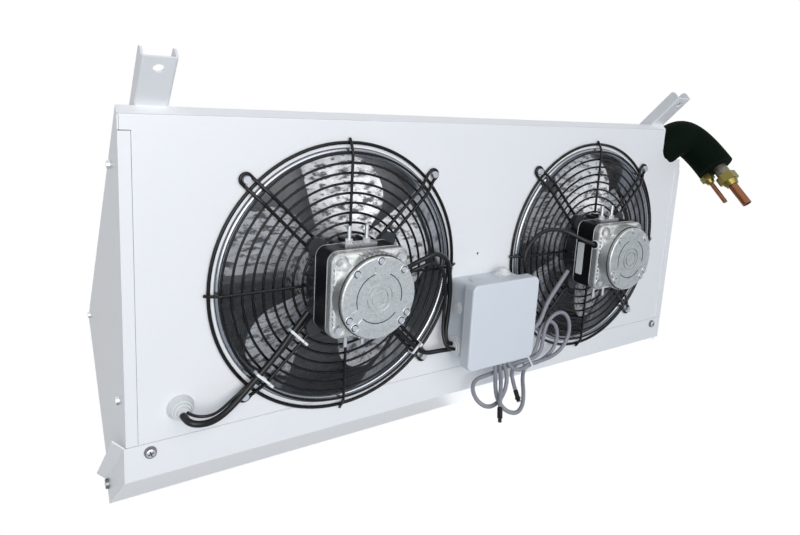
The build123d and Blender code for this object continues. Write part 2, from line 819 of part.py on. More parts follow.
for side, x, outer in (("left", coil_x0, -1), ("right", coil_x1, 1)):
    with BuildPart() as coil_plate:
        with BuildSketch(Plane.YZ.offset(x)):
            with Locations((coil_y, coil_mid_z)):
                Rectangle(fin_depth + 2 * plate_margin, fin_height + 2 * plate_margin)
                with GridLocations(coil_pitch, coil_pitch, coil_columns, coil_rows):
                    Circle(tube_r + 0.05, mode=Mode.SUBTRACT)
        extrude(amount=outer * coil_plate_sheet)
        plate_top = coil_mid_z + fin_height / 2 + plate_margin
        with BuildSketch(Plane.YZ.offset(x)):
            with Locations((coil_y, (plate_top - sheet) / 2)):
                Rectangle(fin_depth + 2 * plate_margin, -sheet - plate_top)
        extrude(amount=outer * coil_plate_sheet)
        with BuildSketch(Plane.YZ.offset(x)):
            with Locations((coil_y, -sheet - coil_plate_sheet / 2)):
                Rectangle(fin_depth + 2 * plate_margin, coil_plate_sheet)
        extrude(amount=outer * hem)
    save(coil_plate, f"{side}_coil_plate")

header_y0 = coil_y - coil_pitch - 13
header_y1 = coil_y + coil_pitch + 18
manifold_y1 = coil_y + coil_pitch + 13
with BuildPart() as suction_header:
    with BuildSketch(Plane.XZ.offset(-header_y1)):
        with Locations((header_x, coil_top_z)):
            Circle(header_r)
    extrude(amount=header_y1 - header_y0)
    fillet(suction_header.edges().filter_by(GeomType.CIRCLE), 3)
save(suction_header, "suction_header")

with BuildPart() as liquid_manifold:
    with BuildSketch(Plane.XZ.offset(-manifold_y1)):
        with Locations((manifold_x, coil_low_z)):
            Circle(manifold_r)
    extrude(amount=manifold_y1 - header_y0)
    fillet(liquid_manifold.edges().filter_by(GeomType.CIRCLE), 2)
save(liquid_manifold, "liquid_manifold")

# Pipes from the coil out through the corner notch, in one foam sleeve
suction_r = 6.0
liquid_r = 3.0
suction_stub_r = 6.35
liquid_stub_r = 3.175
neck_step = 0.45
neck_below_nut = 0.5
sleeve_r = 26.0
pipe_end_z = -60.0
sleeve_end_z = -73.0
suction_end = (446.0, -174.0)
liquid_end = (440.0, -153.0)
adaptor_r = 10.0
adaptor_end_z = -88.0
suction_nut_end_z = -107.0
suction_stub_end_z = -141.0
suction_nut_af = 25.0
liquid_nut_z = -73.2
liquid_nut_end_z = -87.0
liquid_stub_end_z = -122.0
liquid_nut_af = 17.0
stub_wall = 1.0

with BuildPart() as suction_pipe:
    suction_route = [
        (header_x, header_y0, coil_top_z),
        (header_x, 60, coil_top_z),
        (372, 10, coil_top_z),
        (372, suction_end[1], coil_top_z),
        (suction_end[0], suction_end[1], -18),
        (suction_end[0], suction_end[1], pipe_end_z),
    ]
    tube(suction_route, suction_r, [40, 40, 26, 34])
save(suction_pipe, "suction_pipe")

with BuildPart() as liquid_pipe:
    liquid_route = [
        (manifold_x, header_y0, coil_low_z),
        (manifold_x, 82, coil_low_z),
        (396, 82, -150),
        (396, 82, -33),
        (396, -159, -33),
        (liquid_end[0], liquid_end[1], -24),
        (liquid_end[0], liquid_end[1], liquid_nut_z),
    ]
    tube(liquid_route, liquid_r, [12, 20, 15, 18, 24])
save(liquid_pipe, "liquid_pipe")

with BuildPart() as suction_adaptor:
    with BuildSketch(Plane.XY.offset(pipe_end_z)):
        with Locations(suction_end):
            Circle(adaptor_r)
    extrude(amount=adaptor_end_z - pipe_end_z)
save(suction_adaptor, "suction_adaptor")

with BuildPart() as pipe_insulation:
    sleeve_route = [
        (377, -112, -32),
        (377, pipe_hole_y, -32),
        (440, pipe_hole_y, -20),
        (440, pipe_hole_y, sleeve_end_z),
    ]
    tube(sleeve_route, sleeve_r, [30, 30])
    with BuildSketch(slope_plane(0, 0, 0.3)):
        with Locations((300, 40)):
            Rectangle(104, 200, align=Align.MIN)
        with BuildSketch(mode=Mode.SUBTRACT) as passage:
            with Locations((x_right - notch_width + 0.4, notch_low_up + 0.4)):
                Rectangle(80, 150, align=Align.MIN)
            low_corner = passage.vertices().group_by(Axis.X)[0].sort_by(Axis.Y)[0]
            fillet(low_corner, notch_corner_r)
    extrude(amount=-120, mode=Mode.SUBTRACT)
    add(suction_pipe.part, mode=Mode.SUBTRACT)
    add(liquid_pipe.part, mode=Mode.SUBTRACT)
    add(suction_adaptor.part, mode=Mode.SUBTRACT)
save(pipe_insulation, "pipe_insulation")

nut_specs = (
    ("suction_flare_nut", suction_end, adaptor_end_z, suction_nut_end_z, suction_nut_af, suction_stub_r),
    ("liquid_flare_nut", liquid_end, liquid_nut_z, liquid_nut_end_z, liquid_nut_af, liquid_stub_r),
)
for name, place, top_z, end_z, across_flats, pipe_r in nut_specs:
    with BuildPart() as nut:
        hex_length = (top_z - end_z) * 0.62
        with BuildSketch(Plane.XY.offset(top_z)):
            with Locations(place):
                RegularPolygon(across_flats / 2, 6, major_radius=False)
        extrude(amount=-hex_length)
        with BuildSketch(Plane.XY.offset(top_z - hex_length)):
            with Locations(place):
                Circle(across_flats / 2 - 1)
        extrude(amount=end_z - top_z + hex_length, taper=22)
        with BuildSketch(Plane.XY.offset(top_z)):
            with Locations(place):
                Circle(pipe_r - neck_step + 0.03)
        extrude(amount=end_z - top_z, mode=Mode.SUBTRACT)
    save(nut, name)

# Each stub is a little slimmer where it sits in its nut, and full below it
stub_specs = (
    ("suction_stub", suction_end, adaptor_end_z, suction_nut_end_z, suction_stub_end_z, suction_stub_r),
    ("liquid_stub", liquid_end, liquid_nut_z, liquid_nut_end_z, liquid_stub_end_z, liquid_stub_r),
)
for name, place, top_z, nut_z, end_z, pipe_r in stub_specs:
    full_z = nut_z - neck_below_nut
    with BuildPart() as stub:
        with BuildSketch(Plane.XY.offset(top_z)):
            with Locations(place):
                Circle(pipe_r - neck_step)
        extrude(amount=full_z - top_z)
        with BuildSketch(Plane.XY.offset(full_z)):
            with Locations(place):
                Circle(pipe_r)
        extrude(amount=end_z - full_z)
        with BuildSketch(Plane.XY.offset(top_z)):
            with Locations(place):
                Circle(pipe_r - stub_wall)
        extrude(amount=end_z - top_z, mode=Mode.SUBTRACT)
    save(stub, name)

# Junction box on the panel between the fans
box_side = 93.0
box_wall = 2.5
box_corner_r = 8.0
box_height = 45.6
lid_side = 102.0
lid_inner = 94.0
lid_skirt_h = 34.0
lid_inside_h = 46.0
lid_front_h = 49.0
port_h = 18.0
cord_port_h = 21.0

with BuildPart() as box_base:
    with BuildSketch(slope_plane(box_x, box_up)):
        RectangleRounded(box_side, box_side, box_corner_r)
    extrude(amount=box_height)
    with BuildSketch(slope_plane(box_x, box_up, box_wall)):
        inner_side = box_side - 2 * box_wall
        RectangleRounded(inner_side, inner_side, box_corner_r - box_wall)
    extrude(amount=box_height, mode=Mode.SUBTRACT)
save(box_base, "box_base")

with BuildPart() as box_lid:
    with BuildSketch(slope_plane(box_x, box_up, lid_skirt_h)):
        RectangleRounded(lid_side, lid_side, box_corner_r)
    extrude(amount=lid_front_h - lid_skirt_h)
    fillet(box_lid.faces().sort_by(Axis((0, 0, 0), outward))[-1].edges(), 2.5)
    with BuildSketch(slope_plane(box_x, box_up, lid_skirt_h)):
        RectangleRounded(lid_inner, lid_inner, box_corner_r - 1)
    extrude(amount=lid_inside_h - lid_skirt_h, mode=Mode.SUBTRACT)
save(box_lid, "box_lid")

terminal_rows = 5
with BuildPart() as terminal_block:
    with BuildSketch(slope_plane(box_x, box_up, box_wall)):
        Rectangle(52, 22)
    extrude(amount=12)
    with BuildSketch(slope_plane(box_x, box_up, box_wall + 12)):
        with GridLocations(10, 0, terminal_rows, 1):
            Rectangle(7, 10)
    extrude(amount=6)
save(terminal_block, "terminal_block")


# A stepped rubber cone: each step is a base radius and a height
def stepped_cone(plane, steps):
    for radius, low, high in steps:
        with BuildSketch(plane.offset(low)) as step:
            Circle(radius)
        extrude(step.sketch, amount=high - low, taper=20)


def box_port(side_x, side_up, along, h=port_h):
    place = slope_point(box_x + side_x * box_side / 2 + along * abs(side_up),
                        box_up + side_up * box_side / 2 + along * abs(side_x), h)
    facing = slope_point(side_x, side_up) - slope_point(0, 0)
    return Plane(origin=place, x_dir=outward, z_dir=facing)


with BuildPart() as box_grommets:
    stepped_cone(box_port(0, 1, 20), [(12, 0, 3), (9.5, 3, 6), (7, 6, 8.5), (4.5, 8.5, 10)])
    stepped_cone(box_port(0, 1, -22), [(9, 0, 1.2), (6, 1.2, 1.8)])
    stepped_cone(box_port(-1, 0, 16), [(7, 0, 1.2), (4, 1.2, 1.8)])
    stepped_cone(box_port(-1, 0, -31), [(13, 0, 1.5), (10, 1.5, 2.6), (7, 2.6, 3.6), (4, 3.6, 4.4)])
    stepped_cone(box_port(0, -1, -24), [(12, 0, 3), (9.5, 3, 6), (7, 6, 8.5)])
    stepped_cone(box_port(1, 0, -29), [(12, 0, 1.5), (9, 1.5, 2.6), (6, 2.6, 3.6)])
    stepped_cone(box_port(1, 0, 31), [(9, 0, 1.5), (6, 1.5, 2.6)])
    stepped_cone(box_port(0, -1, 25, cord_port_h), [(12.8, 0, 2.6)])
save(box_grommets, "box_grommets")

gland_steps = [(12.5, 0, 5), (10.5, 5, 8), (8.5, 8, 11), (6.5, 11, 14)]
gland_tip_h = gland_steps[-1][2]
with BuildPart() as cable_gland:
    gland_plane = slope_plane(gland_x, gland_up)
    stepped_cone(gland_plane, gland_steps)
    with BuildSketch(gland_plane):
        Circle(gland_thread_r)
    extrude(amount=-6)
save(cable_gland, "cable_gland")

# Places along a guard's arm: distance from the fan's axis, sideways and out of the panel


def arm_point(side, angle, radius, sideways, out):
    return turned_plane(fan_x[side], angle).from_local_coords((radius, sideways, out))


# Motor leads, from the gland and the motors over the guards to the box
lead_r = 2.6
thin_lead_r = 1.4
arch_lead_r = 2.0
sleeve_lead_r = 2.8
outer_tie_r = loop_r - 24.15
inner_tie_r = 74.85
gland_lead = [
    slope_point(-331.5, -104.5, gland_tip_h + 1),
    slope_point(-330, -107, 24),
    slope_point(-320, -110, 28),
    slope_point(-305, -112, 24),
    slope_point(-288, -106, 18),
    arm_point("left", 225, outer_tie_r, -9, 13.2),
    arm_point("left", 225, 100, -9, 13.2),
    arm_point("left", 225, inner_tie_r, lead_boss_t + 2, 11.2),
    arm_point("left", 225, lead_boss_r + 5.4, lead_boss_t, 12),
]
thin_lead = [
    slope_point(-327, -103, gland_tip_h + 0.6),
    slope_point(-324, -103, 24),
    slope_point(-312, -104, 28),
    slope_point(-300, -104.5, 22),
    slope_point(-286, -99, 15),
    slope_point(-271, -89.5, 15),
    slope_point(-262, -83, 15),
]
low_lead = [
    arm_point("left", 315, lug_reach + 0.5, 0, 14),
    arm_point("left", 315, 83, -1, 11.5),
    arm_point("left", 315, 105, -1, 11.2),
    arm_point("left", 315, outer_tie_r, 0.3, 11.2),
    arm_point("left", 315, 141, 1.4, 12),
    slope_point(-43, -98, 15),
    slope_point(-29.2, -98, 17),
]
outer_arch = [
    slope_point(-122.3, 10, 30),
    slope_point(-105, 10, 26),
    slope_point(-89, 14, 22),
    slope_point(-80, 20, 28),
    slope_point(-70, 24, 30),
    slope_point(-57, 19, 26),
    slope_point(-45, 11, 20),
    slope_point(-38, -2, 15),
    slope_point(-32, -25, 12),
    slope_point(-32, -55, 11),
    slope_point(-36, -76, 13),
    slope_point(-36.5, -90, 17),
    slope_point(-28.9, -91, 17.5),
]
inner_arch = [
    slope_point(-122.3, 2, 28),
    slope_point(-107, 2, 24),
    slope_point(-93, 4, 20),
    slope_point(-83, 9, 24),
    slope_point(-73, 13, 26),
    slope_point(-62, 9, 23),
    slope_point(-51.5, 2, 19),
    slope_point(-44.5, -9, 15),
    slope_point(-38.5, -28, 12),
    slope_point(-38.5, -55, 11),
    slope_point(-41.5, -78, 15),
    slope_point(-40, -94, 23),
    slope_point(-28.9, -95.5, 23),
]
right_lead = [
    slope_point(165.5, 17.5, 49.6),
    slope_point(155, 21.5, 44),
    slope_point(147, 27, 33),
    slope_point(135, 33, 23),
    slope_point(115, 34.5, 17),
    slope_point(98.5, 27.5, 15),
    slope_point(84, 15, 15),
    slope_point(77.5, 0, 15.5),
    slope_point(83, -20, 17.5),
    slope_point(83, -32.5, 18),
    slope_point(72.4, -33, 18),
]
sleeve_lead = [
    arm_point("right", 225, lead_boss_r + 5.4, lead_boss_t, 12),
    arm_point("right", 225, 70, -11.5, 11.8),
    arm_point("right", 225, 88, -11, 12.2),
    arm_point("right", 225, 106, -10.8, 14.2),
    slope_point(113, -90, 18.8),
    slope_point(98, -95, 18.5),
    slope_point(73, -93, 18),
]
with BuildPart() as motor_leads:
    tube(gland_lead, lead_r)
    tube(thin_lead, thin_lead_r)
    tube(low_lead, lead_r)
    tube(outer_arch, lead_r)
    tube(inner_arch, arch_lead_r)
    tube(right_lead, lead_r)
    tube(sleeve_lead, sleeve_lead_r)
    entry = Plane(origin=slope_point(167.9, 17.5, 49.6), x_dir=outward, z_dir=(-1, 0, 0))
    with BuildSketch(entry):
        Circle(4.6)
    extrude(amount=4)
save(motor_leads, "motor_leads")

# Sensor cords out of the box's lower grommet; one of them loops back into the box
cord_r = 2.5
cord_start_up = box_up - box_side / 2 - 2.7
cord_straight = 13.0
looped_route = [
    slope_point(56.5, cord_start_up, cord_port_h),
    slope_point(56.5, cord_start_up - cord_straight, cord_port_h),
    (62, 10.5, -237.5),
    (76.5, 13, -240.5),
    (92, 15.3, -235.3),
    (114, 15.3, -235.3),
    slope_point(138, -137, 24.5),
    slope_point(158, -129, 23),
    slope_point(169, -112, 22),
    slope_point(167, -92, 21.5),
    slope_point(153, -78, 21.5),
    slope_point(135, -79, 21.5),
    slope_point(122, -92, 21.5),
    slope_point(119, -112, 21.8),
    slope_point(118, -126, 21.8),
    slope_point(107, -134.9, 20.9),
    slope_point(84, -134.9, 20.1),
    (58, 18, -231),
    (32, 20.5, -234),
    (9, 20.5, -235),
    (-1.6, 20.5, -245.5),
    (-1.6, 20.5, -260.5),
    (9, 20.5, -271),
    (27, 20.5, -269),
    (43, 16, -257),
    (50, 10, -242),
    slope_point(50.5, cord_start_up - cord_straight, cord_port_h),
    slope_point(50.5, cord_start_up, cord_port_h),
]
black_route = [
    slope_point(44.5, cord_start_up, cord_port_h),
    slope_point(44.5, cord_start_up - cord_straight, cord_port_h),
    (40, 9.5, -240),
    (31, 8, -254),
    (22, 8, -267),
    (16, 8, -277),
]
plain_route = [
    slope_point(38.5, cord_start_up, cord_port_h),
    slope_point(38.5, cord_start_up - cord_straight, cord_port_h),
    (35, 14, -239),
    (27, 14.5, -253),
    (22, 14, -268),
    (27, 14, -282),
    (41, 14, -288),
    (55, 14, -281),
    (66, 14.5, -266),
    (77, 18, -249),
    (91, 21.1, -236.5),
    (101, 21.1, -234.6),
    (118, 21.1, -234.6),
    slope_point(136, -138, 18),
    slope_point(149, -127, 17.5),
    slope_point(152, -110, 17),
    slope_point(145, -94.5, 16.5),
    slope_point(130, -88.5, 16),
    slope_point(118.5, -101, 15.7),
    slope_point(117, -120, 15.5),
    slope_point(110, -134, 15.5),
    slope_point(97, -138.9, 15.5),
    (80, 21.1, -229),
    (70, 24, -237),
    (66, 25, -250),
    (64, 25, -260),
]
with BuildPart() as looped_cord:
    tube(looped_route, cord_r)
save(looped_cord, "looped_sensor_cord")

with BuildPart() as black_cord:
    tube(black_route, cord_r)
save(black_cord, "black_sensor_cord")

with BuildPart() as plain_cord:
    tube(plain_route, cord_r)
save(plain_cord, "plain_sensor_cord")

# A moulded tip ends each of the two free cords
with BuildPart() as probe_tips:
    for route, steps in (
        (black_route, ((3.1, 0, 12), (2.2, 12, 17))),
        (plain_route, ((2.9, 0, 9), (3.7, 9, 10.5), (2.6, 10.5, 14))),
    ):
        end = Vector(route[-1])
        along = Plane(origin=end, z_dir=end - Vector(route[-2]))
        for tip_r, near, far in steps:
            with BuildSketch(along.offset(near)) as tip:
                Circle(tip_r)
            extrude(tip.sketch, amount=far - near)
save(probe_tips, "probe_tips")

# Cable ties: a band and a small lock each
tie_sheet = 1.0
tie_width = 2.5
cord_tie_place = (96, 18.3, -232.3)
cord_tie_inside = (12.4, 13.0)


def tie(plane, across, high):
    with BuildSketch(plane) as band:
        RectangleRounded(across + 2 * tie_sheet, high + 2 * tie_sheet, 2)
        RectangleRounded(across, high, 1, mode=Mode.SUBTRACT)
        with Locations((across / 2 - 2, high / 2 + tie_sheet + 1.2)):
            Rectangle(4.4, 3)
    extrude(band.sketch, amount=tie_width / 2, both=True)


def arm_tie(side, angle, radius, sideways, out):
    turned = turned_plane(fan_x[side], angle)
    place = turned.from_local_coords((radius, sum(sideways) / 2, sum(out) / 2))
    across = Plane(origin=place, x_dir=turned.y_dir, z_dir=turned.x_dir)
    tie(across, sideways[1] - sideways[0], out[1] - out[0])


with BuildPart() as cable_ties:
    arm_tie("left", 225, outer_tie_r, (-12.2, 7.35), (7.4, 16.8))
    arm_tie("left", 225, inner_tie_r, (-14.2, 7.35), (7.9, 15.2))
    arm_tie("left", 315, outer_tie_r, (-7.35, 7.35), (7.4, 14.1))
    tie(Plane(origin=cord_tie_place, x_dir=(0, 1, 0), z_dir=(1, 0, 0)), *cord_tie_inside)
save(cable_ties, "cable_ties")
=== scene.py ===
"""Looks of the ceiling evaporator: finishes for the CAD nodes, cords, leads, foam, fins and studio."""

import json
from math import cos, pi, radians, sin

import bmesh
import bpy
from mathutils import Matrix, Vector


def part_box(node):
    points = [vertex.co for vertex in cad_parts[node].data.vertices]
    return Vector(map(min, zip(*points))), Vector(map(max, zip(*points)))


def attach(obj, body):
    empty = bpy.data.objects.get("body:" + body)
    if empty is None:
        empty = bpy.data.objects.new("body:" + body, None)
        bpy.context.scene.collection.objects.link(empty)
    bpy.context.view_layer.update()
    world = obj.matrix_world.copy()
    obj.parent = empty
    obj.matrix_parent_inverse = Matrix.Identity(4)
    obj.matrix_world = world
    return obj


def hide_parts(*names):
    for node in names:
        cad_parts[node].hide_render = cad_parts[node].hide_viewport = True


# The photograph's camera, in the object's frame
CAMERA_PLACE = (-0.4528, -0.5669, -0.3742)
CAMERA_RIGHT = (0.83943, -0.41330, -0.35291)
CAMERA_UP = (0.0507, -0.58695, 0.80804)
CAMERA_BACK = (-0.54110, -0.69618, -0.47174)
LENS_MM = 27.0
SENSOR_MM = 36.0
VIEW_SHIFT = (0.0054, -0.0766)
NEAREST_SEEN = 0.01

# The slanted panel, as in the CAD: x along it, up the slope from the fans' line, out of it, in millimetres
PANEL_TILT = radians(44.0)
PANEL_TOP = (-183.8, -9.5)
FAN_DOWN = 161.0
FAN_X = {"left": -165.0, "right": 210.0}
OUTWARD = Vector((0.0, -sin(PANEL_TILT), -cos(PANEL_TILT)))
UPWARD = Vector((0.0, -cos(PANEL_TILT), sin(PANEL_TILT)))
ALONG = Vector((1.0, 0.0, 0.0))


def panel_point(x, up, out):
    """A place near the slanted panel, in metres."""
    y = PANEL_TOP[0] + (FAN_DOWN - up) * cos(PANEL_TILT) - out * sin(PANEL_TILT)
    z = PANEL_TOP[1] - (FAN_DOWN - up) * sin(PANEL_TILT) - out * cos(PANEL_TILT)
    return Vector((x, y, z)) / 1000.0


def arm_point(side, angle, radius, sideways, out):
    """A place on a guard's arm, in metres: distance from the fan's axis, sideways and out of the panel."""
    turn = radians(angle)
    x = FAN_X[side] + radius * cos(turn) - sideways * sin(turn)
    return panel_point(x, radius * sin(turn) + sideways * cos(turn), out)


def place(x, y, z):
    """A point of the object's frame, in metres from millimetres."""
    return Vector((x, y, z)) / 1000.0


# Sensor cords: their routes follow the CAD cords, and each starts in a lower grommet of the box
CORD_DIAMETER = 0.005
CORD_START_UP = -113.2
CORD_BEND_UP = -126.2
CORD_OUT = 21.0
LOOPED_ROUTE = [
    panel_point(56.5, CORD_START_UP, CORD_OUT),
    panel_point(56.5, CORD_BEND_UP, CORD_OUT),
    place(62, 10.5, -237.5),
    place(76.5, 13, -240.5),
    place(92, 15.3, -235.3),
    place(114, 15.3, -235.3),
    panel_point(138, -137, 24.5),
    panel_point(158, -129, 23),
    panel_point(169, -112, 22),
    panel_point(167, -92, 21.5),
    panel_point(153, -78, 21.5),
    panel_point(135, -79, 21.5),
    panel_point(122, -92, 21.5),
    panel_point(119, -112, 21.8),
    panel_point(118, -126, 21.8),
    panel_point(107, -134.9, 20.9),
    panel_point(84, -134.9, 20.1),
    place(58, 18, -231),
    place(32, 20.5, -234),
    place(9, 20.5, -235),
    place(-1.6, 20.5, -245.5),
    place(-1.6, 20.5, -260.5),
    place(9, 20.5, -271),
    place(27, 20.5, -269),
    place(43, 16, -257),
    place(50, 10, -242),
    panel_point(50.5, CORD_BEND_UP, CORD_OUT),
    panel_point(50.5, CORD_START_UP, CORD_OUT),
]
SHORT_ROUTE = [
    panel_point(44.5, CORD_START_UP, CORD_OUT),
    panel_point(44.5, CORD_BEND_UP, CORD_OUT),
    place(40, 9.5, -240),
    place(31, 8, -254),
    place(22, 8, -267),
    place(16, 8, -277),
]
PLAIN_ROUTE = [
    panel_point(38.5, CORD_START_UP, CORD_OUT),
    panel_point(38.5, CORD_BEND_UP, CORD_OUT),
    place(35, 14, -239),
    place(27, 14.5, -253),
    place(22, 14, -268),
    place(27, 14, -282),
    place(41, 14, -288),
    place(55, 14, -281),
    place(66, 14.5, -266),
    place(77, 18, -249),
    place(91, 21.1, -236.5),
    place(101, 21.1, -234.6),
    place(118, 21.1, -234.6),
    panel_point(136, -138, 18),
    panel_point(149, -127, 17.5),
    panel_point(152, -110, 17),
    panel_point(145, -94.5, 16.5),
    panel_point(130, -88.5, 16),
    panel_point(118.5, -101, 15.7),
    panel_point(117, -120, 15.5),
    panel_point(110, -134, 15.5),
    panel_point(97, -138.9, 15.5),
    place(80, 21.1, -229),
    place(70, 24, -237),
    place(66, 25, -250),
    place(64, 25, -260),
]

# Motor leads tied to the guards: finish, radius in metres and route
MOTOR_LEADS = {
    "gland_lead": ("cable_black", 0.0031, [
        panel_point(-331.5, -104.5, 15),
        panel_point(-330, -107, 24),
        panel_point(-320, -110, 28),
        panel_point(-305, -112, 24),
        panel_point(-288, -106, 18),
        arm_point("left", 225, 125.35, -9, 13.2),
        arm_point("left", 225, 100, -9, 13.2),
        arm_point("left", 225, 74.85, -11, 11.2),
        arm_point("left", 225, 50.4, -13, 12),
    ]),
    "thin_lead": ("cable_black", 0.0014, [
        panel_point(-327, -103, 14.6),
        panel_point(-324, -103, 24),
        panel_point(-312, -104, 28),
        panel_point(-300, -104.5, 22),
        panel_point(-286, -99, 15),
        panel_point(-271, -89.5, 15),
        panel_point(-262, -83, 15),
    ]),
    "low_lead": ("cable_black", 0.0026, [
        arm_point("left", 315, 66.5, 0, 14),
        arm_point("left", 315, 83, -1, 11.5),
        arm_point("left", 315, 105, -1, 11.2),
        arm_point("left", 315, 125.35, 0.3, 11.2),
        arm_point("left", 315, 141, 1.4, 12),
        panel_point(-43, -98, 15),
        panel_point(-29.2, -98, 17),
    ]),
    "outer_arch_lead": ("cable_black", 0.0026, [
        panel_point(-122.3, 10, 30),
        panel_point(-105, 10, 26),
        panel_point(-89, 14, 22),
        panel_point(-80, 20, 28),
        panel_point(-70, 24, 30),
        panel_point(-57, 19, 26),
        panel_point(-45, 11, 20),
        panel_point(-38, -2, 15),
        panel_point(-32, -25, 12),
        panel_point(-32, -55, 11),
        panel_point(-36, -76, 13),
        panel_point(-36.5, -90, 17),
        panel_point(-28.9, -91, 17.5),
    ]),
    "inner_arch_lead": ("cable_black", 0.0020, [
        panel_point(-122.3, 2, 28),
        panel_point(-107, 2, 24),
        panel_point(-93, 4, 20),
        panel_point(-83, 9, 24),
        panel_point(-73, 13, 26),
        panel_point(-62, 9, 23),
        panel_point(-51.5, 2, 19),
        panel_point(-44.5, -9, 15),
        panel_point(-38.5, -28, 12),
        panel_point(-38.5, -55, 11),
        panel_point(-41.5, -78, 15),
        panel_point(-40, -94, 23),
        panel_point(-28.9, -95.5, 23),
    ]),
    "right_lead": ("cable_black", 0.0026, [
        panel_point(165.5, 17.5, 49.6),
        panel_point(155, 21.5, 44),
        panel_point(147, 27, 33),
        panel_point(135, 33, 23),
        panel_point(115, 34.5, 17),
        panel_point(98.5, 27.5, 15),
        panel_point(84, 15, 15),
        panel_point(77.5, 0, 15.5),
        panel_point(83, -20, 17.5),
        panel_point(83, -32.5, 18),
        panel_point(72.4, -33, 18),
    ]),
    "entry_sleeve": ("cable_black", 0.0046, [
        panel_point(167.9, 17.5, 49.6),
        panel_point(165.9, 17.5, 49.6),
        panel_point(163.9, 17.5, 49.6),
    ]),
    "sleeve_lead": ("cable_grey", 0.0028, [
        arm_point("right", 225, 50.4, -13, 12),
        arm_point("right", 225, 70, -11.5, 11.8),
        arm_point("right", 225, 88, -11, 12.2),
        arm_point("right", 225, 106, -10.8, 14.2),
        panel_point(113, -90, 18.8),
        panel_point(98, -95, 18.5),
        panel_point(73, -93, 18),
    ]),
}

# Plain finishes: colour, metallic, roughness, gloss, how strong the fine grain is, its scale
FINISHES = {
    "white_sheet": ((0.87, 0.88, 0.895), 0.0, 0.30, 0.50, 0.03, 260.0),
    "nozzle_sheet": ((0.38, 0.40, 0.43), 0.90, 0.20, 0.50, 0.08, 90.0),
    "zinc_screws": ((0.72, 0.73, 0.75), 0.85, 0.28, 0.50, 0.14, 300.0),
    "black_screws": ((0.22, 0.22, 0.23), 0.8, 0.30, 0.50, 0.10, 300.0),
    "spout_plastic": ((0.78, 0.80, 0.70), 0.0, 0.42, 0.50, 0.03, 200.0),
    "fin_foil": ((0.66, 0.69, 0.73), 0.35, 0.34, 0.50, 0.24, 300.0),
    "copper": ((0.24, 0.100, 0.048), 0.90, 0.36, 0.50, 0.45, 160.0),
    "nut_brass": ((0.20, 0.165, 0.045), 0.90, 0.28, 0.50, 0.30, 220.0),
    "foam": ((0.003, 0.007, 0.004), 0.0, 0.85, 0.06, 0.60, 420.0),
    "guard_wire": ((0.004, 0.004, 0.005), 0.0, 0.22, 0.30, 0.05, 300.0),
    "motor_black": ((0.005, 0.005, 0.006), 0.0, 0.36, 0.30, 0.15, 200.0),
    "rear_shield_paint": ((0.045, 0.050, 0.055), 0.5, 0.36, 0.45, 0.20, 260.0),
    "steel_shaft": ((0.55, 0.55, 0.55), 1.0, 0.25, 0.50, 0.03, 200.0),
    "box_plastic": ((0.70, 0.74, 0.79), 0.0, 0.36, 0.50, 0.06, 600.0),
    "grommet_rubber": ((0.72, 0.74, 0.75), 0.0, 0.48, 0.50, 0.06, 200.0),
    "block_plastic": ((0.78, 0.77, 0.68), 0.0, 0.45, 0.50, 0.03, 200.0),
    "cable_black": ((0.006, 0.006, 0.007), 0.0, 0.30, 0.34, 0.10, 300.0),
    "cable_grey": ((0.27, 0.275, 0.31), 0.0, 0.42, 0.45, 0.08, 300.0),
    "tie_plastic": ((0.84, 0.86, 0.87), 0.0, 0.38, 0.50, 0.03, 200.0),
    "label_paper": ((0.86, 0.87, 0.87), 0.0, 0.50, 0.50, 0.02, 200.0),
    # Near-black painted shade: thin lines standing in for the shade inside seams, cast channels, screw
    # gaps and screw slots
    "painted_groove_shade": ((0.03, 0.03, 0.03), 0.3, 0.55, 0.30, 0.10, 300.0),
    "dull_adaptor": ((0.20, 0.19, 0.14), 0.85, 0.36, 0.50, 0.25, 220.0),
}

# Metals with visible cells: colour, metallic, roughness, cell scale, how dark the stains are, their scale
METAL_FINISHES = {
    "galvanised": ((0.79, 0.80, 0.825), 0.55, 0.40, 190.0, 0.80, 165.0),
    "motor_alloy": ((0.66, 0.675, 0.665), 0.85, 0.34, 900.0, 0.12, 160.0),
}
METAL_GLOSS = 0.5
METAL_RELIEF = 0.12

# CAD nodes whose finish isn't their slot's own
DRESSED_APART = {
    "suction_adaptor": "dull_adaptor",
    "left_nozzle_ring": "nozzle_sheet",
    "right_nozzle_ring": "nozzle_sheet",
    "left_motor_rear_shield": "rear_shield_paint",
    "right_motor_rear_shield": "rear_shield_paint",
}


def new_group(name, values, outputs):
    """An empty shader group: its number inputs, and its outputs as name and socket type."""
    group = bpy.data.node_groups.new(name, "ShaderNodeTree")
    face = group.interface
    face.new_socket("Color", in_out="INPUT", socket_type="NodeSocketColor")
    for value in values:
        face.new_socket(value, in_out="INPUT", socket_type="NodeSocketFloat")
    for output, kind in outputs:
        face.new_socket(output, in_out="OUTPUT", socket_type=kind)
    return group, group.nodes.new("NodeGroupInput"), group.nodes.new("NodeGroupOutput")


def math_node(tree, operation, first, second, third=None):
    """A Math node whose inputs are sockets or numbers."""
    node = tree.nodes.new("ShaderNodeMath")
    node.operation = operation
    for index, value in enumerate((first, second, third)):
        if value is None:
            continue
        if isinstance(value, (int, float)):
            node.inputs[index].default_value = value
        else:
            tree.links.new(value, node.inputs[index])
    return node.outputs["Value"]


def scaled_colour(tree, colour, scale):
    """A colour socket times a number socket."""
    tint = tree.nodes.new("ShaderNodeVectorMath")
    tint.operation = "SCALE"
    tree.links.new(colour, tint.inputs[0])
    tree.links.new(scale, tint.inputs["Scale"])
    return tint.outputs["Vector"]


SURFACE_OUTPUTS = (
    ("Color", "NodeSocketColor"),
    ("Roughness", "NodeSocketFloat"),
    ("Height", "NodeSocketFloat"),
)


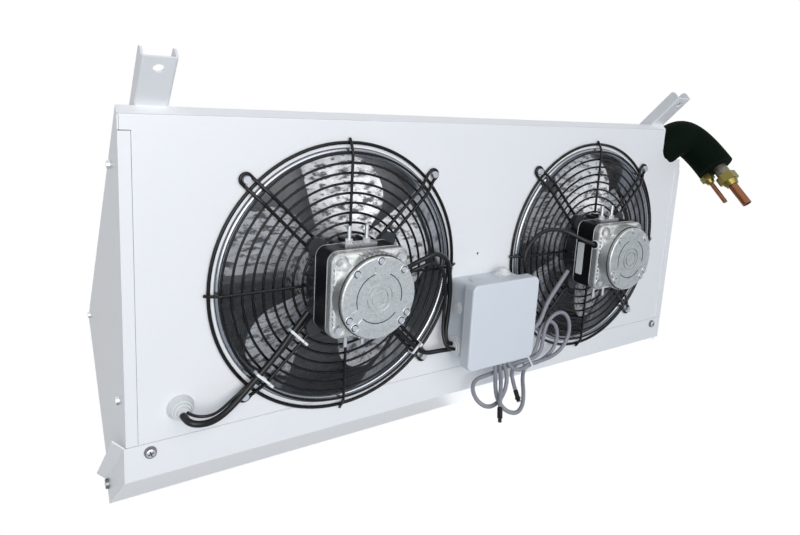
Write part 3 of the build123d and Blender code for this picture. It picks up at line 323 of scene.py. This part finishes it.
# Fine grain: broad clouds under it. Metal flake: where stains begin and are full, how far cells differ
CLOUD_SCALE = 9.0
STAIN_STRETCH = (0.45, 1.0, 1.0)
STAIN_START, STAIN_FULL = 0.49, 0.60
CELL_DARKEST, CELL_SPREAD = 0.86, 0.22
STAIN_DULLS, CELL_DULLS = 0.25, 0.10


def fine_grain_group():
    """Uneven tone, fine grain and a shallow relief, from noise in the object's own place."""
    group, inlet, outlet = new_group(
        "fine_grain", ("Tone Scale", "Tone Amount", "Roughness"), SURFACE_OUTPUTS)
    links = group.links
    spot = group.nodes.new("ShaderNodeTexCoord")
    fine = group.nodes.new("ShaderNodeTexNoise")
    fine.inputs["Detail"].default_value = 4.0
    broad = group.nodes.new("ShaderNodeTexNoise")
    broad.inputs["Scale"].default_value = CLOUD_SCALE
    broad.inputs["Detail"].default_value = 2.0
    for noise in (fine, broad):
        links.new(spot.outputs["Object"], noise.inputs["Vector"])
    links.new(inlet.outputs["Tone Scale"], fine.inputs["Scale"])
    both = math_node(group, "ADD", fine.outputs["Fac"], broad.outputs["Fac"])
    centred = math_node(group, "SUBTRACT", both, 1.0)
    swing = math_node(group, "MULTIPLY_ADD", centred, inlet.outputs["Tone Amount"], 1.0)
    links.new(scaled_colour(group, inlet.outputs["Color"], swing), outlet.inputs["Color"])
    rough = math_node(group, "MULTIPLY", inlet.outputs["Roughness"], swing)
    links.new(rough, outlet.inputs["Roughness"])
    links.new(fine.outputs["Fac"], outlet.inputs["Height"])
    return group


def metal_flake_group():
    """Zinc spangle or cast skin: cells of uneven tone with darker stains and fine scratches."""
    group, inlet, outlet = new_group(
        "metal_flake", ("Cell Scale", "Stain Amount", "Stain Scale", "Roughness"), SURFACE_OUTPUTS)
    links = group.links
    spot = group.nodes.new("ShaderNodeTexCoord")
    cells = group.nodes.new("ShaderNodeTexVoronoi")
    stains = group.nodes.new("ShaderNodeTexNoise")
    stains.inputs["Detail"].default_value = 5.0
    stains.inputs["Roughness"].default_value = 0.66
    streaked = group.nodes.new("ShaderNodeVectorMath")
    streaked.operation = "MULTIPLY"
    streaked.inputs[1].default_value = STAIN_STRETCH
    links.new(spot.outputs["Object"], streaked.inputs[0])
    links.new(spot.outputs["Object"], cells.inputs["Vector"])
    links.new(streaked.outputs["Vector"], stains.inputs["Vector"])
    links.new(inlet.outputs["Cell Scale"], cells.inputs["Scale"])
    links.new(inlet.outputs["Stain Scale"], stains.inputs["Scale"])
    flake = group.nodes.new("ShaderNodeSeparateColor")
    links.new(cells.outputs["Color"], flake.inputs["Color"])
    deep = group.nodes.new("ShaderNodeMapRange")
    deep.inputs["From Min"].default_value = STAIN_START
    deep.inputs["From Max"].default_value = STAIN_FULL
    links.new(stains.outputs["Fac"], deep.inputs["Value"])
    stained = math_node(group, "MULTIPLY", deep.outputs["Result"], inlet.outputs["Stain Amount"])
    clean = math_node(group, "SUBTRACT", 1.0, stained)
    tone = math_node(group, "MULTIPLY_ADD", flake.outputs["Red"], CELL_SPREAD, CELL_DARKEST)
    swing = math_node(group, "MULTIPLY", clean, tone)
    links.new(scaled_colour(group, inlet.outputs["Color"], swing), outlet.inputs["Color"])
    dull = math_node(group, "MULTIPLY_ADD", stained, STAIN_DULLS, inlet.outputs["Roughness"])
    uneven = math_node(group, "MULTIPLY_ADD", flake.outputs["Green"], CELL_DULLS, dull)
    links.new(uneven, outlet.inputs["Roughness"])
    links.new(cells.outputs["Distance"], outlet.inputs["Height"])
    return group


RELIEF_DEPTH = 0.0005


def finish_material(name, group, colour, metallic, gloss, group_values, relief):
    """One finish of the unit: a shader fed by its surface group."""
    material = bpy.data.materials.new(name)
    material.use_nodes = True
    nodes, links = material.node_tree.nodes, material.node_tree.links
    shader = nodes["Principled BSDF"]
    shader.inputs["Metallic"].default_value = metallic
    shader.inputs["Specular IOR Level"].default_value = gloss
    effect = nodes.new("ShaderNodeGroup")
    effect.node_tree = group
    effect.inputs["Color"].default_value = (*colour, 1.0)
    for socket, value in group_values.items():
        effect.inputs[socket].default_value = value
    bump = nodes.new("ShaderNodeBump")
    bump.inputs["Strength"].default_value = relief
    bump.inputs["Distance"].default_value = RELIEF_DEPTH
    links.new(effect.outputs["Color"], shader.inputs["Base Color"])
    links.new(effect.outputs["Roughness"], shader.inputs["Roughness"])
    links.new(effect.outputs["Height"], bump.inputs["Height"])
    links.new(bump.outputs["Normal"], shader.inputs["Normal"])
    return material


def make_finishes():
    """Every finish of the unit, by its slot's name."""
    grain_group = fine_grain_group()
    flake_group = metal_flake_group()
    finishes = {}
    for name, (colour, metallic, roughness, gloss, grain, scale) in FINISHES.items():
        values = {"Tone Scale": scale, "Tone Amount": grain, "Roughness": roughness}
        finishes[name] = finish_material(name, grain_group, colour, metallic, gloss, values, grain)
    for name, (colour, metallic, roughness, cell, stain, stain_scale) in METAL_FINISHES.items():
        values = {"Cell Scale": cell, "Stain Amount": stain, "Stain Scale": stain_scale,
                  "Roughness": roughness}
        finishes[name] = finish_material(name, flake_group, colour, metallic, METAL_GLOSS, values,
                                         METAL_RELIEF)
    return finishes


def dress_nodes(frame, finishes):
    """Gives every CAD node its finish: the one the record names for it, or the one DRESSED_APART gives it.
    """
    for part in frame["record"]["subparts"]:
        node = frame["nodes"][part["node"]]
        finish = DRESSED_APART.get(part["node"], part["material_slot"])
        node.data.materials.clear()
        node.data.materials.append(finishes[finish])


LINE_STEPS = 10
LINE_SIDES = 5


def smooth_line(name, route, radius, finish):
    """A round cord or lead on one smooth curve that its route's points draw."""
    curve = bpy.data.curves.new(name, "CURVE")
    curve.dimensions = "3D"
    spline = curve.splines.new("NURBS")
    spline.points.add(len(route) - 1)
    for point, spot in zip(spline.points, route):
        point.co = (*spot, 1.0)
    spline.order_u = 3
    spline.use_endpoint_u = True
    curve.resolution_u = LINE_STEPS
    curve.bevel_depth = radius
    curve.bevel_resolution = LINE_SIDES
    curve.use_fill_caps = True
    curve.materials.append(finish)
    line = bpy.data.objects.new(name, curve)
    bpy.context.scene.collection.objects.link(line)
    return line


def lay_sensor_cords(frame, finishes):
    """The three limp sensor cords under the box."""
    tips = frame["nodes"]["probe_tips"]
    specs = (
        ("looped_cord", "looped_sensor_cord", LOOPED_ROUTE, "cable_grey", 0.480, "object", []),
        ("short_cord", "black_sensor_cord", SHORT_ROUTE, "cable_grey", 0.072, "fitting", [tips]),
        ("plain_cord", "plain_sensor_cord", PLAIN_ROUTE, "cable_grey", 0.380, "fitting", [tips]),
    )
    for name, node, route, finish, length, far_end, ends in specs:
        cord = smooth_line(name, route, CORD_DIAMETER / 2, finishes[finish])
        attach(cord, "root")
        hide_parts(node)


def lay_motor_leads(finishes):
    """The leads from the gland and the motors to the box, held by the guards' ties."""
    for name, (finish, radius, route) in MOTOR_LEADS.items():
        lead = smooth_line(name, route, radius, finishes[finish])
        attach(lead, "root")
        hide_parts("motor_leads")


# Foam sleeve round both pipes: a wide bend out of the corner notch and down
FOAM_RADIUS = 0.026
FOAM_STEPS = 24
FOAM_SIDES = 14
FOAM_ROUTE = [
    place(379, -112, -22),
    place(380, -170, -13),
    place(440, -172, -11.5),
    place(440, -172, -73),
]


def wrap_pipes(finishes):
    """The foam sleeve, as one thick line along its bends."""
    foam = smooth_line("foam_sleeve", FOAM_ROUTE, FOAM_RADIUS, finishes["foam"])
    foam.data.resolution_u = FOAM_STEPS
    foam.data.bevel_resolution = FOAM_SIDES
    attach(foam, "root")
    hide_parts("pipe_insulation")


def mesh_piece(name, mesh, matrix, finish):
    """An object on the root from a mesh in the making, with its place, finish and slot."""
    data = bpy.data.meshes.new(name)
    mesh.to_mesh(data)
    mesh.free()
    data.materials.append(finish)
    piece = bpy.data.objects.new(name, data)
    bpy.context.scene.collection.objects.link(piece)
    piece.matrix_world = matrix
    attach(piece, "root")
    return piece


# Finned coil: thin sheets at their real pitch, rippled to the side and along their front edge
FIN_PITCH = 0.0024
FIN_SHEET = 0.0005
FIN_SWAY = 0.0006
FIN_EDGE_WAVE = 0.0022
FIN_RIPPLE_PITCH = 0.0058


def make_coil_fins(finishes):
    """One mesh of all the fins, each a closed rippled sheet."""
    low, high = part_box("coil_fins")
    mesh = bmesh.new()
    count = int((high[0] - low[0]) / FIN_PITCH)
    rows = int((high[2] - low[2]) / (FIN_RIPPLE_PITCH / 2))
    step = (high[2] - low[2]) / rows
    for index in range(count):
        x = low[0] + index * FIN_PITCH
        loops = []
        for row in range(rows + 1):
            crest = row % 2
            left = x + FIN_SWAY * crest
            right = left + FIN_SHEET
            front = low[1] + FIN_EDGE_WAVE * crest
            z = low[2] + row * step
            corners = ((left, front), (right, front), (right, high[1]), (left, high[1]))
            loops.append([mesh.verts.new((a, b, z)) for a, b in corners])
        for below, above in zip(loops, loops[1:]):
            for side in range(4):
                turn = (side + 1) % 4
                mesh.faces.new((below[side], below[turn], above[turn], above[side]))
        mesh.faces.new(loops[0][::-1])
        mesh.faces.new(loops[-1])
    pack = mesh_piece("coil_fin_pack", mesh, Matrix(), finishes["fin_foil"])
    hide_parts("coil_fins")


def panel_matrix(x, up, out):
    """Local x along the panel, y up the slope and z out of it."""
    columns = Matrix((ALONG, UPWARD, OUTWARD)).transposed().to_4x4()
    return Matrix.Translation(panel_point(x, up, out)) @ columns


def side_matrix(x, up, out):
    """Local x out of the panel, y up the slope and z along the panel to the left."""
    columns = Matrix((OUTWARD, UPWARD, -ALONG)).transposed().to_4x4()
    return Matrix.Translation(panel_point(x, up, out)) @ columns


def fine_line(name, spots, closed, matrix, radius, finish):
    """A thin round line through flat spots, in the space of the matrix, riding on the root."""
    curve = bpy.data.curves.new(name, "CURVE")
    curve.dimensions = "3D"
    spline = curve.splines.new("POLY")
    spline.points.add(len(spots) - 1)
    for point, spot in zip(spline.points, spots):
        point.co = (*spot, 0.0, 1.0)
    spline.use_cyclic_u = closed
    curve.bevel_depth = radius
    curve.bevel_resolution = 2
    curve.use_fill_caps = not closed
    curve.materials.append(finish)
    line = bpy.data.objects.new(name, curve)
    bpy.context.scene.collection.objects.link(line)
    line.matrix_world = matrix
    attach(line, "root")
    return line


def arc_spots(radius, first_angle, turn, steps):
    """Spots along an arc about the origin, angles in degrees."""
    angles = [radians(first_angle + turn * share / steps) for share in range(steps + 1)]
    return [(radius * cos(angle), radius * sin(angle)) for angle in angles]


def rounded_square_spots(side, corner):
    """Spots round a square with round corners, about the origin."""
    flat = side / 2 - corner
    spots = []
    for quarter in range(4):
        across = flat * (1 if quarter in (0, 3) else -1)
        up = flat * (1 if quarter in (0, 1) else -1)
        corner_arc = arc_spots(corner, 90 * quarter, 90, 6)
        spots.extend((across + a, up + b) for a, b in corner_arc)
    return spots


# Black stators: their square in metres, and their edges out of the panel in millimetres
STATOR_SIDE = 0.0835
STATOR_CORNER = 0.010
STATOR_EDGES = {"rear": 18.9, "front": 44.1}
TRIM_RADIUS = 0.0006


def make_stator_trims(finishes):
    """Bright edges round the front and back of each black stator."""
    spots = rounded_square_spots(STATOR_SIDE, STATOR_CORNER)
    for side, x in FAN_X.items():
        for edge, out in STATOR_EDGES.items():
            fine_line(f"{side}_stator_{edge}_trim", spots, True, panel_matrix(x, 0, out), TRIM_RADIUS,
                      finishes["motor_alloy"])


# Motor covers: near-black lines of painted shade for the seam, the cast channels and the gaps round the
# screws, and zinc rims round the screws. Places out of the panel are in millimetres, angles in degrees and
# radii in metres
COVER_FACE = 72.0
SEAM_OUT = 67.2
COVER_SEAM_RADIUS = 0.0406
SEAM_THICKNESS = 0.0006
CHANNEL_RADIUS = 0.0246
CHANNEL_RUNS = ((66, -80), (105, 92), (226, 92))
CHANNEL_THICKNESS = 0.00045
SCREW_CIRCLE = 36.2
SCREW_ANGLES = (90, 44, 134, -30, -45, -151, -135)
RIM_RADIUS = 0.0040
RIM_THICKNESS = 0.0005
GAP_RADIUS = 0.0033
GAP_THICKNESS = 0.00045


def make_cover_details(finishes):
    """Fine lines on both motor covers, each sunk halfway into the face: dark ones of painted shade for the
    seam, channels and screw gaps, zinc rims round the screws.
    """
    groove_shade, zinc = finishes["painted_groove_shade"], finishes["zinc_screws"]
    for side, x in FAN_X.items():
        fine_line(f"{side}_cover_seam", arc_spots(COVER_SEAM_RADIUS, 0, 355, 71), True,
                  panel_matrix(x, 0, SEAM_OUT), SEAM_THICKNESS, groove_shade)
        for number, (first_angle, turn) in enumerate(CHANNEL_RUNS, 1):
            channel = arc_spots(CHANNEL_RADIUS, first_angle, turn, 24)
            fine_line(f"{side}_cover_channel_{number}", channel, False,
                      panel_matrix(x, 0, COVER_FACE), CHANNEL_THICKNESS, groove_shade)
        for number, angle in enumerate(SCREW_ANGLES, 1):
            across, up = arc_spots(SCREW_CIRCLE, angle, 0, 1)[0]
            spot = panel_matrix(x + across, up, COVER_FACE)
            fine_line(f"{side}_screw_gap_{number}", arc_spots(GAP_RADIUS, 0, 345, 23), True, spot,
                      GAP_THICKNESS, groove_shade)
            fine_line(f"{side}_screw_rim_{number}", arc_spots(RIM_RADIUS, 0, 345, 23), True, spot,
                      RIM_THICKNESS, zinc)


# Line of painted shade along the seam of the left side panel's flange on the fan panel, as x and up in
# millimetres
FLANGE_SEAM = [(-366.9, -131.5), (-366.7, 148.4), (-376.6, 148.4)]
SEAM_RADIUS = 0.00035


def make_flange_seam(finishes):
    """A fine dark line of painted shade where the left side panel's flange meets the fan panel."""
    spots = [(x / 1000, up / 1000) for x, up in FLANGE_SEAM]
    fine_line("flange_seam", spots, False, panel_matrix(0, 0, 0), SEAM_RADIUS, finishes["painted_groove_shade"])


# Tray screws on the slanted front: bright domed faces on their dark heads, with slots drawn as dark lines
# of painted shade. Places are in millimetres
TRAY_SCREW_X = (-356.7, 386.7)
TRAY_SCREW_UP = -141.0
TRAY_SCREW_OUT = 3.2
DOME_RADIUS = 0.0042
DOME_HEIGHT = 0.0012
SLOT_REACH = 0.0026
SLOT_THICKNESS = 0.0005
SLOT_ANGLES = (20, 110)
SLOT_SINK = 0.1


def make_screw_faces(finishes):
    """A low zinc dome on each of the two tray screws, with its crossed slot as dark lines of painted
    shade.
    """
    for side, x in zip(("left", "right"), TRAY_SCREW_X):
        mesh = bmesh.new()
        bmesh.ops.create_uvsphere(mesh, u_segments=32, v_segments=12, radius=DOME_RADIUS)
        for vertex in mesh.verts:
            vertex.co.z *= DOME_HEIGHT / DOME_RADIUS
        for face in mesh.faces:
            face.smooth = True
        mesh_piece(f"{side}_screw_face", mesh, panel_matrix(x, TRAY_SCREW_UP, TRAY_SCREW_OUT),
                   finishes["zinc_screws"])
        top = panel_matrix(x, TRAY_SCREW_UP, TRAY_SCREW_OUT + 1000 * DOME_HEIGHT - SLOT_SINK)
        for number, angle in enumerate(SLOT_ANGLES, 1):
            ends = [arc_spots(SLOT_REACH, turn, 0, 1)[0] for turn in (angle, angle + 180)]
            fine_line(f"{side}_screw_slot_{number}", ends, False, top, SLOT_THICKNESS,
                      finishes["painted_groove_shade"])


# White ring at the entry of the right motor's lead: x, up and out in millimetres
RING_PLACE = (165.9, 17.5, 49.6)
RING_RADIUS = 0.0051
RING_THICKNESS = 0.0009


def make_lead_ring(finishes):
    """A white ring round the right motor's lead, at its entry."""
    fine_line("lead_ring", arc_spots(RING_RADIUS, 0, 345, 23), True, side_matrix(*RING_PLACE),
              RING_THICKNESS, finishes["tie_plastic"])


# Bare sticker on the right motor's left side: x, up and out in millimetres, its size in metres
LABEL_PLACE = (168.0, -6.0, 27.0)
LABEL_SIZE = (0.010, 0.042)
LABEL_SHEET = 0.0003
LABEL_CORNER = 0.0015


def make_blank_label(finishes):
    """A bare white sticker on the right motor's left side."""
    mesh = bmesh.new()
    corner_turns = [(1, 1, 0), (-1, 1, 1), (-1, -1, 2), (1, -1, 3)]
    outline = []
    for along_sign, up_sign, quarter in corner_turns:
        for share in range(4):
            turn = pi / 2 * (quarter + share / 3)
            a = along_sign * (LABEL_SIZE[0] / 2 - LABEL_CORNER) + LABEL_CORNER * cos(turn)
            b = up_sign * (LABEL_SIZE[1] / 2 - LABEL_CORNER) + LABEL_CORNER * sin(turn)
            outline.append(mesh.verts.new((a, b, 0.0)))
    face = mesh.faces.new(outline)
    grown = bmesh.ops.extrude_face_region(mesh, geom=[face])
    lifted = [v for v in grown["geom"] if isinstance(v, bmesh.types.BMVert)]
    bmesh.ops.translate(mesh, verts=lifted, vec=(0.0, 0.0, LABEL_SHEET))
    bmesh.ops.recalc_face_normals(mesh, faces=mesh.faces)
    mesh_piece("blank_label", mesh, side_matrix(*LABEL_PLACE), finishes["label_paper"])


def set_camera():
    """The photograph's viewpoint."""
    camera = bpy.data.cameras.new("camera")
    camera.lens = LENS_MM
    camera.sensor_width = SENSOR_MM
    camera.shift_x, camera.shift_y = VIEW_SHIFT
    camera.clip_start = NEAREST_SEEN
    holder = bpy.data.objects.new("camera", camera)
    bpy.context.scene.collection.objects.link(holder)
    columns = (CAMERA_RIGHT, CAMERA_UP, CAMERA_BACK)
    holder.matrix_world = Matrix.Translation(CAMERA_PLACE) @ Matrix(columns).transposed().to_4x4()
    bpy.context.scene.camera = holder


# Studio: soft light's colour and strength, the floor, and each lamp's name, place, side and power
SURROUND_COLOUR = (0.72, 0.84, 1.0)
SURROUND_STRENGTH = 0.20
WHITE = (1.0, 1.0, 1.0)
FLOOR_COLOUR = (0.72, 0.76, 0.81)
FLOOR_LIFT = 0.35
FLOOR_SIDE = 12.0
FLOOR_PLACE = (0.0, 0.0, -1.9)
LAMPS_AIM = Vector((0.03, 0.0, -0.12))
LAMPS = (
    ("front_softbox", (-0.1, -2.4, -1.1), 2.2, 30.5),
    ("near_left_softbox", (-0.8, -1.2, -0.9), 1.0, 10.5),
    ("left_fill", (-1.9, -0.1, -0.3), 1.2, 0.6),
    ("top_rim", (0.4, 0.2, 1.6), 1.4, 8.0),
    ("right_rear_fill", (1.9, 1.5, -0.4), 1.6, 11.0),
)


def seen_rays(tree):
    """One where the camera looks, straight or by way of metal and glass."""
    rays = tree.nodes.new("ShaderNodeLightPath").outputs
    direct = math_node(tree, "MAXIMUM", rays["Is Camera Ray"], rays["Is Glossy Ray"])
    return math_node(tree, "MAXIMUM", direct, rays["Is Transmission Ray"])


def make_floor_paint():
    """A pale floor that keeps the object's shadow, lifted only where it is seen."""
    paint = bpy.data.materials.new("pale_floor")
    paint.use_nodes = True
    tree = paint.node_tree
    matt = tree.nodes["Principled BSDF"]
    matt.inputs["Base Color"].default_value = (*FLOOR_COLOUR, 1.0)
    glow = tree.nodes.new("ShaderNodeEmission")
    glow.inputs["Color"].default_value = (*FLOOR_COLOUR, 1.0)
    glow.inputs["Strength"].default_value = FLOOR_LIFT
    both = tree.nodes.new("ShaderNodeAddShader")
    blend = tree.nodes.new("ShaderNodeMixShader")
    tree.links.new(matt.outputs["BSDF"], both.inputs[0])
    tree.links.new(glow.outputs["Emission"], both.inputs[1])
    tree.links.new(seen_rays(tree), blend.inputs["Fac"])
    tree.links.new(matt.outputs["BSDF"], blend.inputs[1])
    tree.links.new(both.outputs["Shader"], blend.inputs[2])
    tree.links.new(blend.outputs["Shader"], tree.nodes["Material Output"].inputs["Surface"])
    return paint


def set_studio():
    """A white surround for the camera, soft lamps round the unit, and a pale floor."""
    scene = bpy.context.scene
    scene.view_settings.view_transform = "Standard"
    world = bpy.data.worlds.new("surround")
    world.use_nodes = True
    scene.world = world
    nodes, links = world.node_tree.nodes, world.node_tree.links
    soft = nodes["Background"]
    soft.inputs["Color"].default_value = (*SURROUND_COLOUR, 1.0)
    soft.inputs["Strength"].default_value = SURROUND_STRENGTH
    white = nodes.new("ShaderNodeBackground")
    white.inputs["Color"].default_value = (*WHITE, 1.0)
    white.inputs["Strength"].default_value = 1.0
    blend = nodes.new("ShaderNodeMixShader")
    links.new(seen_rays(world.node_tree), blend.inputs["Fac"])
    links.new(soft.outputs["Background"], blend.inputs[1])
    links.new(white.outputs["Background"], blend.inputs[2])
    links.new(blend.outputs["Shader"], nodes["World Output"].inputs["Surface"])

    for name, spot, side, power in LAMPS:
        lamp = bpy.data.lights.new(name, "AREA")
        lamp.size = side
        lamp.energy = power
        holder = bpy.data.objects.new(name, lamp)
        scene.collection.objects.link(holder)
        holder.location = spot
        facing = LAMPS_AIM - Vector(spot)
        holder.rotation_euler = facing.to_track_quat("-Z", "Y").to_euler()

    bpy.ops.mesh.primitive_plane_add(size=FLOOR_SIDE, location=FLOOR_PLACE)
    floor = bpy.context.object
    floor.name = "floor"
    floor.data.materials.append(make_floor_paint())


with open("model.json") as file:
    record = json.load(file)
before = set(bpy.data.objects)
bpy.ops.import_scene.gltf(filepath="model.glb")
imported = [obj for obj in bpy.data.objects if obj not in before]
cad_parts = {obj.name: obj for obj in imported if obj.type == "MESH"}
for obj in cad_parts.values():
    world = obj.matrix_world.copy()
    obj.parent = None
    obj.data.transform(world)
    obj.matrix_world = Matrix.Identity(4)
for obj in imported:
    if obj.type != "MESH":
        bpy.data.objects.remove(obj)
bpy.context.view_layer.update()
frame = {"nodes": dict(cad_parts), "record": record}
finishes = make_finishes()
dress_nodes(frame, finishes)
set_camera()
lay_sensor_cords(frame, finishes)
lay_motor_leads(finishes)
wrap_pipes(finishes)
make_coil_fins(finishes)
make_flange_seam(finishes)
make_screw_faces(finishes)
make_stator_trims(finishes)
make_cover_details(finishes)
make_lead_ring(finishes)
make_blank_label(finishes)
set_studio()
